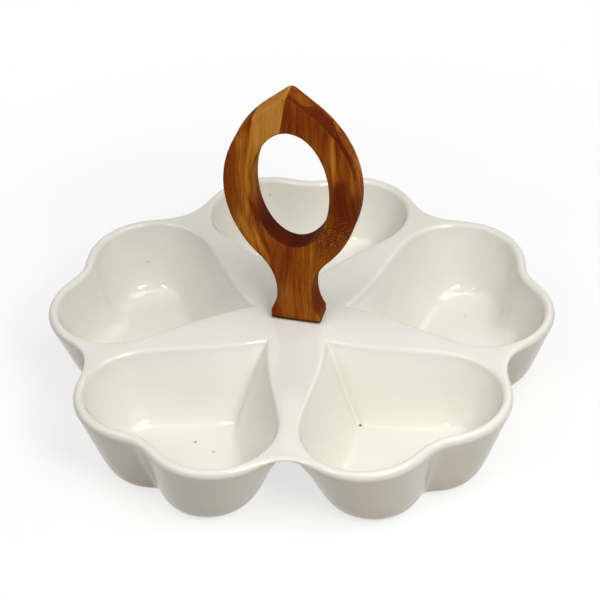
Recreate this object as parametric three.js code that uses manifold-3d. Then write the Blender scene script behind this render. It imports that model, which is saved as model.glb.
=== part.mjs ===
// Divided appetizer dish: five heart-shaped ceramic cups cast round a flat hub, with an upright
// leaf-shaped wooden handle that stands on the hub and turns on one screw from beneath.
// Millimetres, +Z up. The origin is on the dish's centre line at table height, and the
// handle's broad faces look along -Y and +Y.
import * as THREE from "three";
import { mergeVertices } from "three/addons/utils/BufferGeometryUtils.js";
import Module from "manifold-3d";

// Dish as a whole
const cupCount = 5;
const dishTurn = 11.7;          // degrees that the cups stand turned from the handle's faces
const rimHeight = 50;           // table to the rim, the webs and the hub, which are level

// Plan of a cup's hollow at the rim, measured outwards from the dish's centre line
const rimTipReach = 30;         // to the heart's point
const rimLobeReach = 105;       // to the two lobes' centres
const rimLobeSpread = 25.7;     // from the cup's own middle line to a lobe's centre
const rimLobeRadius = 34.8;
const rimNotchRadius = 35.3;    // round that joins the lobes
const sideBow = 2;              // how far a straight side bulges into the hollow

// Plan of the hollow where its walls meet the floor
const floorTipReach = 58;
const floorLobeReach = 106.5;
const floorLobeSpread = 20;
const floorLobeRadius = 21.3;
const floorNotchRadius = 11;

// Ceramic thicknesses and rounds
const rimWidth = 6.6;           // the rim's whole width at the top
const rimRound = 3.1;           // round of the rim's inner and outer edge
const wallThickness = 5.7;      // at the foot of a cup's wall
const floorThickness = 8;
const floorRound = 8;           // inside, between floor and wall
const footRound = 8;            // outside, between foot and wall
const webThickness = 6;         // the flat hub and the webs between the cups
const webEdgeRadius = 26;       // hollow curve of a web's free edge
const webEdgeRound = 2;         // nose of that edge
const webEdgeTaper = 6;         // how far back the web's underside starts
const hubHoleDiameter = 7;

// Handle: a flat board cut to a leaf with a finger hole, a neck and a flared foot
const handleThickness = 14;
const handleEdgeRound = 1;
const leafHalfWidth = 39;
const leafCentreHeight = 89;    // foot to the leaf's widest place
const leafSideRadius = 65.5;
const leafPointStraight = 18.5; // straight end of each side, below the point
const neckHalfWidth = 10.6;
const neckHeight = 20;          // foot to the narrowest place
const neckStraight = 9;         // pull of the neck's direction on the flare below it
const footHalfWidth = 14.7;
const footEdgeHeight = 4.5;     // upright edge at the bottom of the flare
const holeCentreHeight = 89.4;
const holeHalfWidth = 22.2;
const holeHalfHeight = 37.8;

// Fixing: a screw from beneath, a steel washer, a soft washer and a pad under the handle's foot
const seatGap = 0.3;            // left between pieces that bear on each other
const padThickness = 1;
const padInset = 0.8;           // the pad's edge lies inside the foot's edge
const cushionDiameter = 24;
const cushionThickness = 2.5;
const washerDiameter = 19;
const washerThickness = 1.5;
const screwDiameter = 4.8;
const screwLength = 38;         // under the head
const screwPointLength = 6;
const screwHeadDiameter = 10;
const screwHeadHeight = 3.4;
const screwHeadCrown = 1.1;     // bevel round the head
const screwSlotWidth = 1.4;
const screwSlotDepth = 1.5;
const screwClearance = 0.4;     // round the screw, in the washers, the pad and the wood
const pilotEndClearance = 1.5;  // past the screw's point, in the wood

// Fineness of the facets, and how far a cut runs past what it cuts
const sideSteps = 5;
const lobeSteps = 14;
const notchSteps = 4;
const webEdgeSteps = 10;
const handleCurveSteps = 12;
const turnedSteps = 32;
const cutOverrun = 1;
const mergeDistance = 1e-4;

const wasm = await Module();
wasm.setup();

// Joining and cutting closed meshes

function toSolid(geometry) {
  const bare = geometry.clone();
  bare.deleteAttribute("normal");
  bare.deleteAttribute("uv");
  const merged = mergeVertices(bare, mergeDistance);
  return new wasm.Manifold(new wasm.Mesh({
    numProp: 3,
    vertProperties: new Float32Array(merged.attributes.position.array),
    triVerts: new Uint32Array(merged.index.array),
  }));
}

function toGeometry(solid) {
  const { vertProperties, triVerts } = solid.getMesh();
  const geometry = new THREE.BufferGeometry();
  geometry.setAttribute("position", new THREE.BufferAttribute(vertProperties, 3));
  geometry.setIndex(new THREE.BufferAttribute(triVerts, 1));
  geometry.computeVertexNormals();
  return geometry;
}

// A closed body through rings of equal length, the lowest first, each running counter-clockwise
function loft(rings) {
  const count = rings[0].length;
  const positions = rings.flat().flatMap((p) => [p.x, p.y, p.z]);
  const index = [];
  for (let level = 0; level + 1 < rings.length; level += 1) {
    for (let i = 0; i < count; i += 1) {
      const a = level * count + i;
      const b = level * count + (i + 1) % count;
      index.push(a, b, b + count, a, b + count, a + count);
    }
  }
  const cap = (ring, first, flip) => {
    for (const [a, b, c] of THREE.ShapeUtils.triangulateShape(ring, [])) {
      index.push(first + a, first + (flip ? c : b), first + (flip ? b : c));
    }
  };
  cap(rings[0].map((p) => new THREE.Vector2(p.x, p.y)), 0, true);
  cap(rings.at(-1).map((p) => new THREE.Vector2(p.x, p.y)), (rings.length - 1) * count, false);
  const geometry = new THREE.BufferGeometry();
  geometry.setAttribute("position", new THREE.Float32BufferAttribute(positions, 3));
  geometry.setIndex(index);
  return geometry;
}

// A body turned about the Z axis from points of (radius, height)
function turned(profile) {
  const points = profile.map(([radius, height]) => new THREE.Vector2(radius, height));
  return new THREE.LatheGeometry(points, turnedSteps).rotateX(Math.PI / 2);
}

const polar = (centre, radius, angle) => new THREE.Vector2(
  centre.x + radius * Math.cos(angle),
  centre.y + radius * Math.sin(angle),
);

// Heart outlines, with x running outwards along the cup's middle line

const rimHeart = {
  tip: rimTipReach,
  reach: rimLobeReach,
  spread: rimLobeSpread,
  radius: rimLobeRadius,
  notch: rimNotchRadius,
};
const floorHeart = {
  tip: floorTipReach,
  reach: floorLobeReach,
  spread: floorLobeSpread,
  radius: floorLobeRadius,
  notch: floorNotchRadius,
};

// Half the angle between a heart's sides at its point
function tipAngle(heart) {
  const run = heart.reach - heart.tip;
  return Math.atan2(heart.spread, run) + Math.asin(heart.radius / Math.hypot(run, heart.spread));
}

// The heart grown by a distance on every side
function grown(heart, by) {
  return {
    ...heart,
    tip: heart.tip - by / Math.sin(tipAngle(heart)),
    radius: heart.radius + by,
    notch: heart.notch - by,
  };
}

function between(low, high, share) {
  const blend = (key) => low[key] + (high[key] - low[key]) * share;
  return Object.fromEntries(Object.keys(low).map((key) => [key, blend(key)]));
}

// One side of the outline: from the point along the bowed side, round the lobe and into the notch
function heartSide(heart) {
  const tip = new THREE.Vector2(heart.tip, 0);
  const lobe = new THREE.Vector2(heart.reach, heart.spread);
  const angle = tipAngle(heart);
  const along = new THREE.Vector2(Math.cos(angle), Math.sin(angle));
  const inwards = new THREE.Vector2(along.y, -along.x);
  const sideLength = Math.sqrt(tip.distanceToSquared(lobe) - heart.radius ** 2);
  const sideEnd = tip.clone().addScaledVector(along, sideLength);
  const bowPull = sideBow * 8 / 3;    // a cubic passes 3/8 of the way to one control point
  const side = new THREE.CubicBezierCurve(
    tip,
    tip.clone().addScaledVector(along, sideLength / 3).addScaledVector(inwards, bowPull),
    tip.clone().addScaledVector(along, sideLength * 2 / 3),
    sideEnd,
  );
  const notchRun = Math.sqrt((heart.radius + heart.notch) ** 2 - heart.spread ** 2);
  const notch = new THREE.Vector2(heart.reach + notchRun, 0);
  const lobeStart = angle + Math.PI / 2;
  const lobeEnd = -Math.atan2(heart.spread, notchRun);
  const points = side.getPoints(sideSteps);
  for (let i = 1; i <= lobeSteps; i += 1) {
    points.push(polar(lobe, heart.radius, lobeStart + (lobeEnd - lobeStart) * i / lobeSteps));
  }
  for (let i = 1; i <= notchSteps; i += 1) {
    points.push(polar(notch, heart.notch, Math.PI + lobeEnd * (1 - i / notchSteps)));
  }
  return points;
}

// The whole outline, counter-clockwise, at one height
function heartRing(heart, height) {
  const side = heartSide(heart);
  const mirrored = side.map((p) => new THREE.Vector2(p.x, -p.y));
  const back = side.slice(1, -1).reverse();
  return [...mirrored, ...back].map((p) => new THREE.Vector3(p.x, p.y, height));
}

// Where a quarter round of a radius stands at an angle from its flat end:
// how far it still is from the wall, and how far it has risen from the flat
const roundAt = (radius, degrees) => {
  const angle = THREE.MathUtils.degToRad(degrees);
  return [radius * (1 - Math.sin(angle)), radius * (1 - Math.cos(angle))];
};
const wallRoundAngles = [0, 30, 60];   // the walls lean, so their lower rounds stop short of 90
const edgeRoundAngles = [90, 45, 0];

// A cup's outer form from foot to rim
function cupBody() {
  const footOutline = grown(floorHeart, wallThickness);
  const rimOutline = grown(rimHeart, rimWidth);
  const low = wallRoundAngles.map((degrees) => {
    const [inset, rise] = roundAt(footRound, degrees);
    return heartRing(grown(between(footOutline, rimOutline, rise / rimHeight), -inset), rise);
  });
  const high = edgeRoundAngles.map((degrees) => {
    const [inset, drop] = roundAt(rimRound, degrees);
    return heartRing(grown(rimOutline, -inset), rimHeight - drop);
  });
  return toSolid(loft([...low, ...high]));
}

// The hollow that is cut from a cup, from its floor to above the rim
function cupHollow() {
  const depth = rimHeight - floorThickness;
  const low = wallRoundAngles.map((degrees) => {
    const [inset, rise] = roundAt(floorRound, degrees);
    const outline = grown(between(floorHeart, rimHeart, rise / depth), -inset);
    return heartRing(outline, floorThickness + rise);
  });
  const high = edgeRoundAngles.map((degrees) => {
    const [outset, drop] = roundAt(rimRound, degrees);
    return heartRing(grown(rimHeart, outset), rimHeight - drop);
  });
  const above = heartRing(grown(rimHeart, rimRound), rimHeight + cutOverrun);
  return toSolid(loft([...low, ...high, above]));
}

// The flat hub with its webs: hollow curves that touch the outer lobes of neighbouring cups,
// joined by straight lines across the cups
function webPlate() {
  const halfStep = Math.PI / cupCount;
  const lobe = new THREE.Vector2(rimLobeReach, rimLobeSpread).rotateAround(new THREE.Vector2(), -halfStep);
  const touch = rimLobeRadius + rimWidth + webEdgeRadius;
  const centre = lobe.x + Math.sqrt(touch ** 2 - lobe.y ** 2);
  const halfArc = Math.atan2(Math.abs(lobe.y), centre - lobe.x);
  const ringAt = (inset, height) => {
    const ring = [];
    for (let gap = 0; gap < cupCount; gap += 1) {
      const turn = (2 * gap + 1) * halfStep;
      const middle = new THREE.Vector2(centre, 0).rotateAround(new THREE.Vector2(), turn);
      for (let i = 0; i <= webEdgeSteps; i += 1) {
        const angle = turn + Math.PI + halfArc * (1 - 2 * i / webEdgeSteps);
        const point = polar(middle, webEdgeRadius + inset, angle);
        ring.push(new THREE.Vector3(point.x, point.y, height));
      }
    }
    return ring;
  };
  const nose = Math.min(webEdgeRound, webThickness / 2);
  const high = edgeRoundAngles.map((degrees) => {
    const [inset, drop] = roundAt(nose, degrees);
    return ringAt(inset, rimHeight - drop);
  });
  const [noseInset, noseRise] = roundAt(nose, 45);
  const underNose = ringAt(noseInset, rimHeight - 2 * nose + noseRise);
  const underside = ringAt(webEdgeTaper, rimHeight - webThickness);
  return toSolid(loft([underside, underNose, ...high]));
}

// Heights of the stack on the dish's centre line
const hubUnderside = rimHeight - webThickness;
const padBottom = rimHeight + seatGap;
const padTop = padBottom + padThickness;
const handleFoot = padTop + seatGap;
const cushionTop = hubUnderside - seatGap;
const cushionBottom = cushionTop - cushionThickness;
const washerTop = cushionBottom - seatGap;
const washerBottom = washerTop - washerThickness;
const screwHeadTop = washerBottom - seatGap;
const screwTip = screwHeadTop + screwLength;
const screwHoleRadius = screwDiameter / 2 + screwClearance;

// A round drill along the centre line
function drill(radius, from, to) {
  const cylinder = new THREE.CylinderGeometry(radius, radius, to - from, turnedSteps);
  return toSolid(cylinder.rotateX(Math.PI / 2).translate(0, 0, (from + to) / 2));
}

function dishGeometry() {
  const cupTurns = Array.from({ length: cupCount }, (_, i) => 90 + i * 360 / cupCount);
  const placed = (solid, degrees) => solid.rotate([0, 0, degrees]);
  const body = cupBody();
  const hollow = cupHollow();
  let dish = placed(webPlate(), 90);
  for (const degrees of cupTurns) dish = dish.add(placed(body, degrees));
  for (const degrees of cupTurns) dish = dish.subtract(placed(hollow, degrees));
  return toGeometry(dish.subtract(drill(hubHoleDiameter / 2, hubUnderside - cutOverrun, rimHeight + cutOverrun)));
}

// The leaf's sides are arcs that run tangent into the neck's arcs below, and into straight ends
// that meet in the point above
function handleGeometry() {
  const leafX = leafHalfWidth - leafSideRadius;
  const neckRun = leafX - neckHalfWidth;
  const neckRise = leafCentreHeight - neckHeight;
  const neckRadius = (neckRun ** 2 + neckRise ** 2 - leafSideRadius ** 2) / (2 * (leafSideRadius + neckRun));
  const neckX = neckHalfWidth + neckRadius;
  const joinAngle = Math.atan2(-neckRise, neckX - leafX);
  const pointAngle = Math.acos(-leafX / Math.hypot(leafSideRadius, leafPointStraight))
    - Math.atan2(leafPointStraight, leafSideRadius);
  const pointHeight = leafCentreHeight + leafSideRadius * Math.sin(pointAngle)
    + leafPointStraight * Math.cos(pointAngle);
  const outline = new THREE.Shape();
  outline.moveTo(-footHalfWidth, 0);
  outline.lineTo(footHalfWidth, 0);
  outline.lineTo(footHalfWidth, footEdgeHeight);
  outline.quadraticCurveTo(neckHalfWidth, neckHeight - neckStraight, neckHalfWidth, neckHeight);
  outline.absarc(neckX, neckHeight, neckRadius, Math.PI, Math.PI + joinAngle, true);
  outline.absarc(leafX, leafCentreHeight, leafSideRadius, joinAngle, pointAngle, false);
  outline.lineTo(0, pointHeight);
  outline.absarc(-leafX, leafCentreHeight, leafSideRadius, Math.PI - pointAngle, Math.PI - joinAngle, false);
  outline.absarc(-neckX, neckHeight, neckRadius, -joinAngle, 0, true);
  outline.quadraticCurveTo(-neckHalfWidth, neckHeight - neckStraight, -footHalfWidth, footEdgeHeight);
  const hole = new THREE.Path();
  hole.absellipse(0, holeCentreHeight, holeHalfWidth, holeHalfHeight, 0, 2 * Math.PI, true);
  outline.holes.push(hole);
  const board = new THREE.ExtrudeGeometry(outline, {
    depth: handleThickness - 2 * handleEdgeRound,
    curveSegments: handleCurveSteps,
    bevelThickness: handleEdgeRound,
    bevelSize: handleEdgeRound,
    bevelOffset: -handleEdgeRound,
    bevelSegments: 2,
  });
  board.rotateX(Math.PI / 2).translate(0, handleThickness / 2 - handleEdgeRound, handleFoot);
  const pilot = drill(screwHoleRadius, handleFoot - cutOverrun, screwTip + pilotEndClearance);
  return toGeometry(toSolid(board).subtract(pilot));
}

// A thin pad under the handle's foot
function padGeometry() {
  const pad = new THREE.BoxGeometry(
    2 * (footHalfWidth - handleEdgeRound - padInset),
    handleThickness - 2 * padInset,
    padThickness,
  );
  pad.translate(0, 0, (padBottom + padTop) / 2);
  const hole = drill(screwHoleRadius, padBottom - cutOverrun, padTop + cutOverrun);
  return toGeometry(toSolid(pad).subtract(hole));
}

// A flat ring round the screw
function ringGeometry(diameter, bottom, top) {
  const radius = diameter / 2;
  return turned([
    [screwHoleRadius, bottom],
    [radius, bottom],
    [radius, top],
    [screwHoleRadius, top],
    [screwHoleRadius, bottom],
  ]);
}

// A slotted pan-head screw with its point upwards
function screwGeometry() {
  const shank = screwDiameter / 2;
  const head = screwHeadDiameter / 2;
  const bottom = screwHeadTop - screwHeadHeight;
  const body = turned([
    [0, bottom],
    [head - screwHeadCrown, bottom],
    [head, bottom + screwHeadCrown],
    [head, screwHeadTop],
    [shank, screwHeadTop],
    [shank, screwTip - screwPointLength],
    [0, screwTip],
  ]);
  const slotLength = screwHeadDiameter + 2 * cutOverrun;
  const slot = new THREE.BoxGeometry(slotLength, screwSlotWidth, 2 * screwSlotDepth);
  return toGeometry(toSolid(body).subtract(toSolid(slot.translate(0, 0, bottom))));
}

const glaze = new THREE.MeshStandardMaterial({ color: 0xefeae0, roughness: 0.18, metalness: 0 });
const wood = new THREE.MeshStandardMaterial({ color: 0x9a5f26, roughness: 0.5, metalness: 0 });
const steel = new THREE.MeshStandardMaterial({ color: 0xb9bcc0, roughness: 0.35, metalness: 1 });
const rubber = new THREE.MeshStandardMaterial({ color: 0x2b2724, roughness: 0.85, metalness: 0 });

function piece(name, geometry, material) {
  const mesh = new THREE.Mesh(geometry, material);
  mesh.name = name;
  return mesh;
}

const dish = piece("dish", dishGeometry(), glaze);
dish.rotation.z = THREE.MathUtils.degToRad(dishTurn);

const handleGroup = new THREE.Group();
handleGroup.add(
  piece("handle", handleGeometry(), wood),
  piece("foot_pad", padGeometry(), rubber),
  piece("handle_screw", screwGeometry(), steel),
  piece("screw_washer", ringGeometry(washerDiameter, washerBottom, washerTop), steel),
);

const appetizerDish = new THREE.Group();
appetizerDish.add(
  dish,
  piece("cushion_washer", ringGeometry(cushionDiameter, cushionBottom, cushionTop), rubber),
  handleGroup,
);

export default appetizerDish;
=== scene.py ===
from math import acos, asin, atan2, cos, hypot, pi, radians, sin, sqrt, tan

import bmesh
import bpy
from mathutils import Matrix, Vector


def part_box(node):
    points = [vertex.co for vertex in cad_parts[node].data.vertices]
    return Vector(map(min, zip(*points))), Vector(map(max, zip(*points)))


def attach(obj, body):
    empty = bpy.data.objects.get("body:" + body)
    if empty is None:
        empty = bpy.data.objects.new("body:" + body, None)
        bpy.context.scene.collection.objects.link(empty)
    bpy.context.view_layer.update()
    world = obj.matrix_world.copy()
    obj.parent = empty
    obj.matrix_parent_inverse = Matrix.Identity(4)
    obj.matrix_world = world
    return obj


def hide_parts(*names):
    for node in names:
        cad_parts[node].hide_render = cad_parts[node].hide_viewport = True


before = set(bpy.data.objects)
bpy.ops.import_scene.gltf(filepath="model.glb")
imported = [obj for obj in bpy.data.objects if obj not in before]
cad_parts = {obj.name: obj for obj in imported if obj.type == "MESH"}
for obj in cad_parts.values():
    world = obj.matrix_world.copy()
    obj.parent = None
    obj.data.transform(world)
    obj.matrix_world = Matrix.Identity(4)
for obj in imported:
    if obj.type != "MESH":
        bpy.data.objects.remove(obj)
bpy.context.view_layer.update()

bpy.ops.object.select_all(action="DESELECT")

# Everything is in metres, apart from the patterns of the finishes, which are in millimetres.
# The dish's centre line is the Z axis, and the table is at Z = 0.

# The dish: hearts are measured outwards from the centre line
CUP_COUNT = 5
HALF_SECTOR = pi / CUP_COUNT
DISH_TURN = radians(11.7)
RIM_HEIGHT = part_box("dish")[1].z
RIM_HEART = {"tip": 0.030, "reach": 0.105, "spread": 0.0257, "radius": 0.0348, "notch": 0.0353}
FLOOR_HEART = {"tip": 0.058, "reach": 0.1065, "spread": 0.019, "radius": 0.0223, "notch": 0.022}
FOOT_HEART = {"tip": 0.058, "reach": 0.1065, "spread": 0.020, "radius": 0.0213, "notch": 0.011}
SIDE_BOW = 0.002
TIP_SOFTNESS = 0.0034
RIM_WIDTH = 0.0066
WALL_THICKNESS = 0.0057
FLOOR_HEIGHT = 0.008
FLOOR_ROUND = 0.009  # inside, between floor and wall, round the lobes
FLOOR_TIP_ROUND = 0.002  # the same at the heart's point
FOOT_ROUND = 0.008
WEB_THICKNESS = 0.006
WEB_EDGE_RADIUS = 0.026
WEB_EDGE_ROUND = 0.002
HUB_HOLE_RADIUS = 0.0035

# The handle: a board cut to a leaf with a finger hole, heights measured from its foot
HANDLE_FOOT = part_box("handle")[0].z
HANDLE_THICKNESS = 0.014
HANDLE_EDGE_ROUND = 0.001
LEAF_HALF_WIDTH = 0.039
LEAF_CENTRE = 0.089
LEAF_SIDE_RADIUS = 0.0655
LEAF_POINT_STRAIGHT = 0.0185
LEAF_POINT_ROUND = 0.004
NECK_HALF_WIDTH = 0.0106
NECK_HEIGHT = 0.020
NECK_STRAIGHT = 0.009
FOOT_HALF_WIDTH = 0.0147
FOOT_EDGE = 0.0045
HOLE_CENTRE = 0.0894
HOLE_HALF_WIDTH = 0.0222
HOLE_HALF_HEIGHT = 0.0378

# The fixing: a screw from beneath, two washers and a pad
SHANK_RADIUS = 0.0024
SCREW_CLEARANCE = 0.0004
SCREW_HOLE_RADIUS = SHANK_RADIUS + SCREW_CLEARANCE
SCREW_POINT = 0.006
HEAD_HEIGHT = 0.0034
HEAD_CROWN = 0.0011
SLOT_WIDTH = 0.0014
SLOT_DEPTH = 0.0015
THREAD_START = 0.055
THREAD_PITCH = 0.0022
THREAD_DEPTH = 0.0006
THREAD_FLANK = 0.6  # share of the pitch that the thread's flanks take
WASHER_EDGE = 0.0003
CUSHION_EDGE = 0.0008
PAD_CORNER = 0.0012
PAD_EDGE = 0.0003


# Shaping in edit mode

SAME_PLACE = 1e-5  # places nearer than this count as one
TINY = 1e-6  # the same where places lie close together
SHARP = 1.0  # radians between two faces that make their edge a corner
SOFT_CASTING = radians(50)  # corners up to this angle are shaded smooth
CRISP_EDGES = radians(35)


def open_piece():
    bpy.ops.object.mode_set(mode="EDIT")


def close_piece():
    bpy.ops.object.mode_set(mode="OBJECT")


def start_piece(name):
    """Names the primitive that was just added and opens it for editing."""
    piece = bpy.context.object
    piece.name = name
    piece.data.name = name
    open_piece()
    return piece


def start_ring(name, places, fill):
    """A circle whose points go to these places, open for editing with all of it selected."""
    bpy.ops.mesh.primitive_circle_add(vertices=len(places), fill_type=fill)
    piece = start_piece(name)
    mesh = bmesh.from_edit_mesh(piece.data)
    for vertex, place in zip(mesh.verts, places):
        vertex.co = place
    bmesh.update_edit_mesh(piece.data)
    return piece


def pick(piece, wanted, kind="verts"):
    """Selects only the vertices, edges or faces that answer to a test."""
    bpy.ops.mesh.select_all(action="DESELECT")
    mesh = bmesh.from_edit_mesh(piece.data)
    for element in getattr(mesh, kind):
        if wanted(element):
            element.select_set(True)
    mesh.select_flush_mode()
    bmesh.update_edit_mesh(piece.data)


def weld(distance):
    bpy.ops.mesh.select_all(action="SELECT")
    bpy.ops.mesh.remove_doubles(threshold=distance)


def face_outwards():
    bpy.ops.mesh.select_all(action="SELECT")
    bpy.ops.mesh.normals_make_consistent(inside=False)


def lay(piece, old, new):
    """Moves each selected vertex from its place in one ring to its place in the next."""
    mesh = bmesh.from_edit_mesh(piece.data)
    for vertex in mesh.verts:
        if vertex.select:
            nearest = min(range(len(old)), key=lambda i: (vertex.co - old[i]).length_squared)
            vertex.co = new[nearest]
    bmesh.update_edit_mesh(piece.data)


def extrude_through(piece, rings):
    """Extrudes the selected edges, which lie on the first ring, from ring to ring."""
    for old, new in zip(rings, rings[1:]):
        bpy.ops.mesh.extrude_edges_move()
        lay(piece, old, new)


def apply_modifiers(piece):
    bpy.context.view_layer.objects.active = piece
    for modifier in list(piece.modifiers):
        bpy.ops.object.modifier_apply(modifier=modifier.name)


def only(*pieces):
    """Selects these objects alone, the first of them active."""
    bpy.ops.object.select_all(action="DESELECT")
    for piece in pieces:
        piece.select_set(True)
    bpy.context.view_layer.objects.active = pieces[0]


def join(*pieces):
    only(*pieces)
    bpy.ops.object.join()
    return pieces[0]


# Heart outlines, with X running outwards along a cup's middle line

def tip_angle(heart):
    """Half the angle between a heart's sides at its point."""
    run = heart["reach"] - heart["tip"]
    return atan2(heart["spread"], run) + asin(heart["radius"] / hypot(run, heart["spread"]))


def grown(heart, by):
    bigger = dict(heart)
    bigger["tip"] -= by / sin(tip_angle(heart))
    bigger["radius"] += by
    bigger["notch"] -= by
    return bigger


def between(low, high, share, **own_shares):
    """A heart part of the way from one to another. A feature that is named has a share of its own."""
    return {key: low[key] + (high[key] - low[key]) * own_shares.get(key, share) for key in low}


def notch_run(heart):
    return sqrt((heart["radius"] + heart["notch"]) ** 2 - heart["spread"] ** 2)


def lobe_angles(heart):
    """Where the lobe's round starts, after the straight side, and where it ends in the notch."""
    return tip_angle(heart) + pi / 2, -atan2(heart["spread"], notch_run(heart))


# The hollow curve of a web's free edge, which touches the outer lobes of two neighbouring cups
along_gap = Vector((cos(HALF_SECTOR), sin(HALF_SECTOR)))
lobe_centre = Vector((RIM_HEART["reach"], RIM_HEART["spread"]))
lobe_along = lobe_centre.dot(along_gap)
lobe_aside = sqrt(lobe_centre.length_squared - lobe_along ** 2)
touch_reach = RIM_HEART["radius"] + RIM_WIDTH + WEB_EDGE_RADIUS
gap_centre = along_gap * (lobe_along + sqrt(touch_reach ** 2 - lobe_aside ** 2))
touch_direction = (gap_centre - lobe_centre).normalized()
touch_angle = atan2(touch_direction.y, touch_direction.x)

SIDE_STEPS = 5
WEB_LOBE_STEPS = 4  # along the part of a lobe that the web covers
FREE_LOBE_STEPS = 6
NOTCH_STEPS = 3
TOUCH = 1 + SIDE_STEPS + WEB_LOBE_STEPS
APEX = TOUCH - 2
HALF_COUNT = TOUCH + FREE_LOBE_STEPS + NOTCH_STEPS
BOW_PULL = 8 / 3  # how far a curve's first pull moves for its middle to move by one


def heart_half(heart):
    """One side of the outline: from the point along the bowed side, round the lobe and into the notch."""
    tip = Vector((heart["tip"], 0))
    lobe = Vector((heart["reach"], heart["spread"]))
    angle = tip_angle(heart)
    along = Vector((cos(angle), sin(angle)))
    inwards = Vector((along.y, -along.x))
    length = sqrt((lobe - tip).length_squared - heart["radius"] ** 2)
    bow_point = tip + along * length / 3 + inwards * SIDE_BOW * BOW_PULL
    late_point = tip + along * length * 2 / 3
    end = tip + along * length
    points = []
    for share in (0, TIP_SOFTNESS / length, *((i + 1) / SIDE_STEPS for i in range(SIDE_STEPS))):
        rest = 1 - share
        points.append(
            tip * rest ** 3
            + bow_point * 3 * share * rest ** 2
            + late_point * 3 * share ** 2 * rest
            + end * share ** 3
        )
    start, stop = lobe_angles(heart)
    rim_start, rim_stop = lobe_angles(RIM_HEART)
    touch = start + (stop - start) * (touch_angle - rim_start) / (rim_stop - rim_start)
    turns = [start + (touch - start) * (i + 1) / WEB_LOBE_STEPS for i in range(WEB_LOBE_STEPS)]
    turns += [touch + (stop - touch) * (i + 1) / FREE_LOBE_STEPS for i in range(FREE_LOBE_STEPS)]
    for turn in turns:
        points.append(lobe + Vector((cos(turn), sin(turn))) * heart["radius"])
    notch = Vector((heart["reach"] + notch_run(heart), 0))
    for i in range(NOTCH_STEPS):
        turn = pi + stop * (1 - (i + 1) / NOTCH_STEPS)
        points.append(notch + Vector((cos(turn), sin(turn))) * heart["notch"])
    return points


def whole(half):
    """A closed ring from one half, which runs from the point to the notch."""
    return half + [Vector((p.x, -p.y, p.z)) for p in half[-2:0:-1]]


def level(points, height):
    return [Vector((p.x, p.y, height)) for p in points]


def heart_ring(heart, height):
    return whole(level(heart_half(heart), height))


def shrunk(ring, share):
    """The same ring drawn in towards its middle."""
    middle = sum(ring, Vector()) / len(ring)
    return [middle + (p - middle) * share for p in ring]


def round_at(radius, degrees):
    """How far a quarter round still is from the wall, and how far it has risen from the flat."""
    angle = radians(degrees)
    return radius * (1 - sin(angle)), radius * (1 - cos(angle))


# One sector of the dish: a cup with its share of the webs and the hub

GAP_LINE_REACH = (0.030, 0.048, 0.065, 0.081, 0.095, 0.110)
FREE_EDGE_SHARES = (0, 0.5)  # round a web's free edge, from its apex towards the lobe
FLAT_SHARES = (0.4, 0.85)  # rings on the flat of a floor or a foot
FLOOR_TURNS = (0, 30, 60)  # degrees round from a floor or a foot towards the wall
RIM_TURNS = (90, 60, 30)  # from the wall up towards the crest
EDGE_TURNS = (45, 90)  # from the flat over the outer edge
CREST = RIM_WIDTH / 2
CREST_FLAT = 0.0007
WALL_HEIGHTS = (0.018, 0.030, 0.041)
BOWL = 0.85  # below 1 the hollow's walls swell early, like a bowl's


def hollow(height):
    """The hollow's outline at a height, with a point that rises along a straight line."""
    rise = height - FLOOR_HEIGHT
    depth = RIM_HEIGHT - FLOOR_HEIGHT
    return between(FLOOR_HEART, RIM_HEART, (rise / (depth - CREST)) ** BOWL, tip=rise / depth)


def web_half(inset, height):
    """Hub hole, then the line midway between two cups, then the web's free edge up to the lobe."""
    half = [Vector((HUB_HOLE_RADIUS, 0)), along_gap * HUB_HOLE_RADIUS]
    half += [along_gap * reach for reach in GAP_LINE_REACH]
    for share in FREE_EDGE_SHARES:
        direction = (-along_gap).lerp(-touch_direction, share).normalized()
        half.append(gap_centre + direction * (WEB_EDGE_RADIUS + inset))
    return level(half, height)


def upper_rings():
    """From the edge of a cup's floor up its wall and over the rim to the hub, the webs and the crest."""
    rings = []
    for degrees in FLOOR_TURNS:
        half = []
        for i in range(HALF_COUNT + 1):
            share = min(1, i / TOUCH)
            radius = FLOOR_TIP_ROUND + (FLOOR_ROUND - FLOOR_TIP_ROUND) * share
            inset, rise = round_at(radius, degrees)
            heart = grown(hollow(FLOOR_HEIGHT + rise), -inset)
            half.append(level(heart_half(heart), FLOOR_HEIGHT + rise)[i])
        rings.append(whole(half))
    for height in WALL_HEIGHTS:
        rings.append(heart_ring(hollow(height), height))
    for degrees in RIM_TURNS:
        outset, drop = round_at(CREST, degrees)
        rings.append(heart_ring(grown(RIM_HEART, outset), RIM_HEIGHT - drop))
    rings.append(heart_ring(grown(RIM_HEART, CREST - CREST_FLAT), RIM_HEIGHT))
    crest = level(heart_half(grown(RIM_HEART, CREST + CREST_FLAT)), RIM_HEIGHT)
    rings.append(whole(web_half(WEB_EDGE_ROUND, RIM_HEIGHT) + crest[TOUCH:]))
    return rings


def edge_half(degrees):
    """The nose of a web's free edge and the outer round of the rim, from the flat towards the outside."""
    lobe_inset, lobe_drop = round_at(CREST, degrees)
    web_inset, web_drop = round_at(WEB_EDGE_ROUND, degrees)
    lobe = level(heart_half(grown(RIM_HEART, RIM_WIDTH - lobe_inset)), RIM_HEIGHT - lobe_drop)
    lobe[TOUCH].z = RIM_HEIGHT - (lobe_drop + web_drop) / 2
    return web_half(web_inset, RIM_HEIGHT - web_drop) + lobe[TOUCH:]


def grow_skin(name, rings):
    """A skin that starts as a filled circle on the flat and is extruded from ring to ring, left open."""
    rings = [shrunk(rings[0], share) for share in FLAT_SHARES] + rings
    skin = start_ring(name, rings[0], "NGON")
    extrude_through(skin, rings)
    return skin


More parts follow.
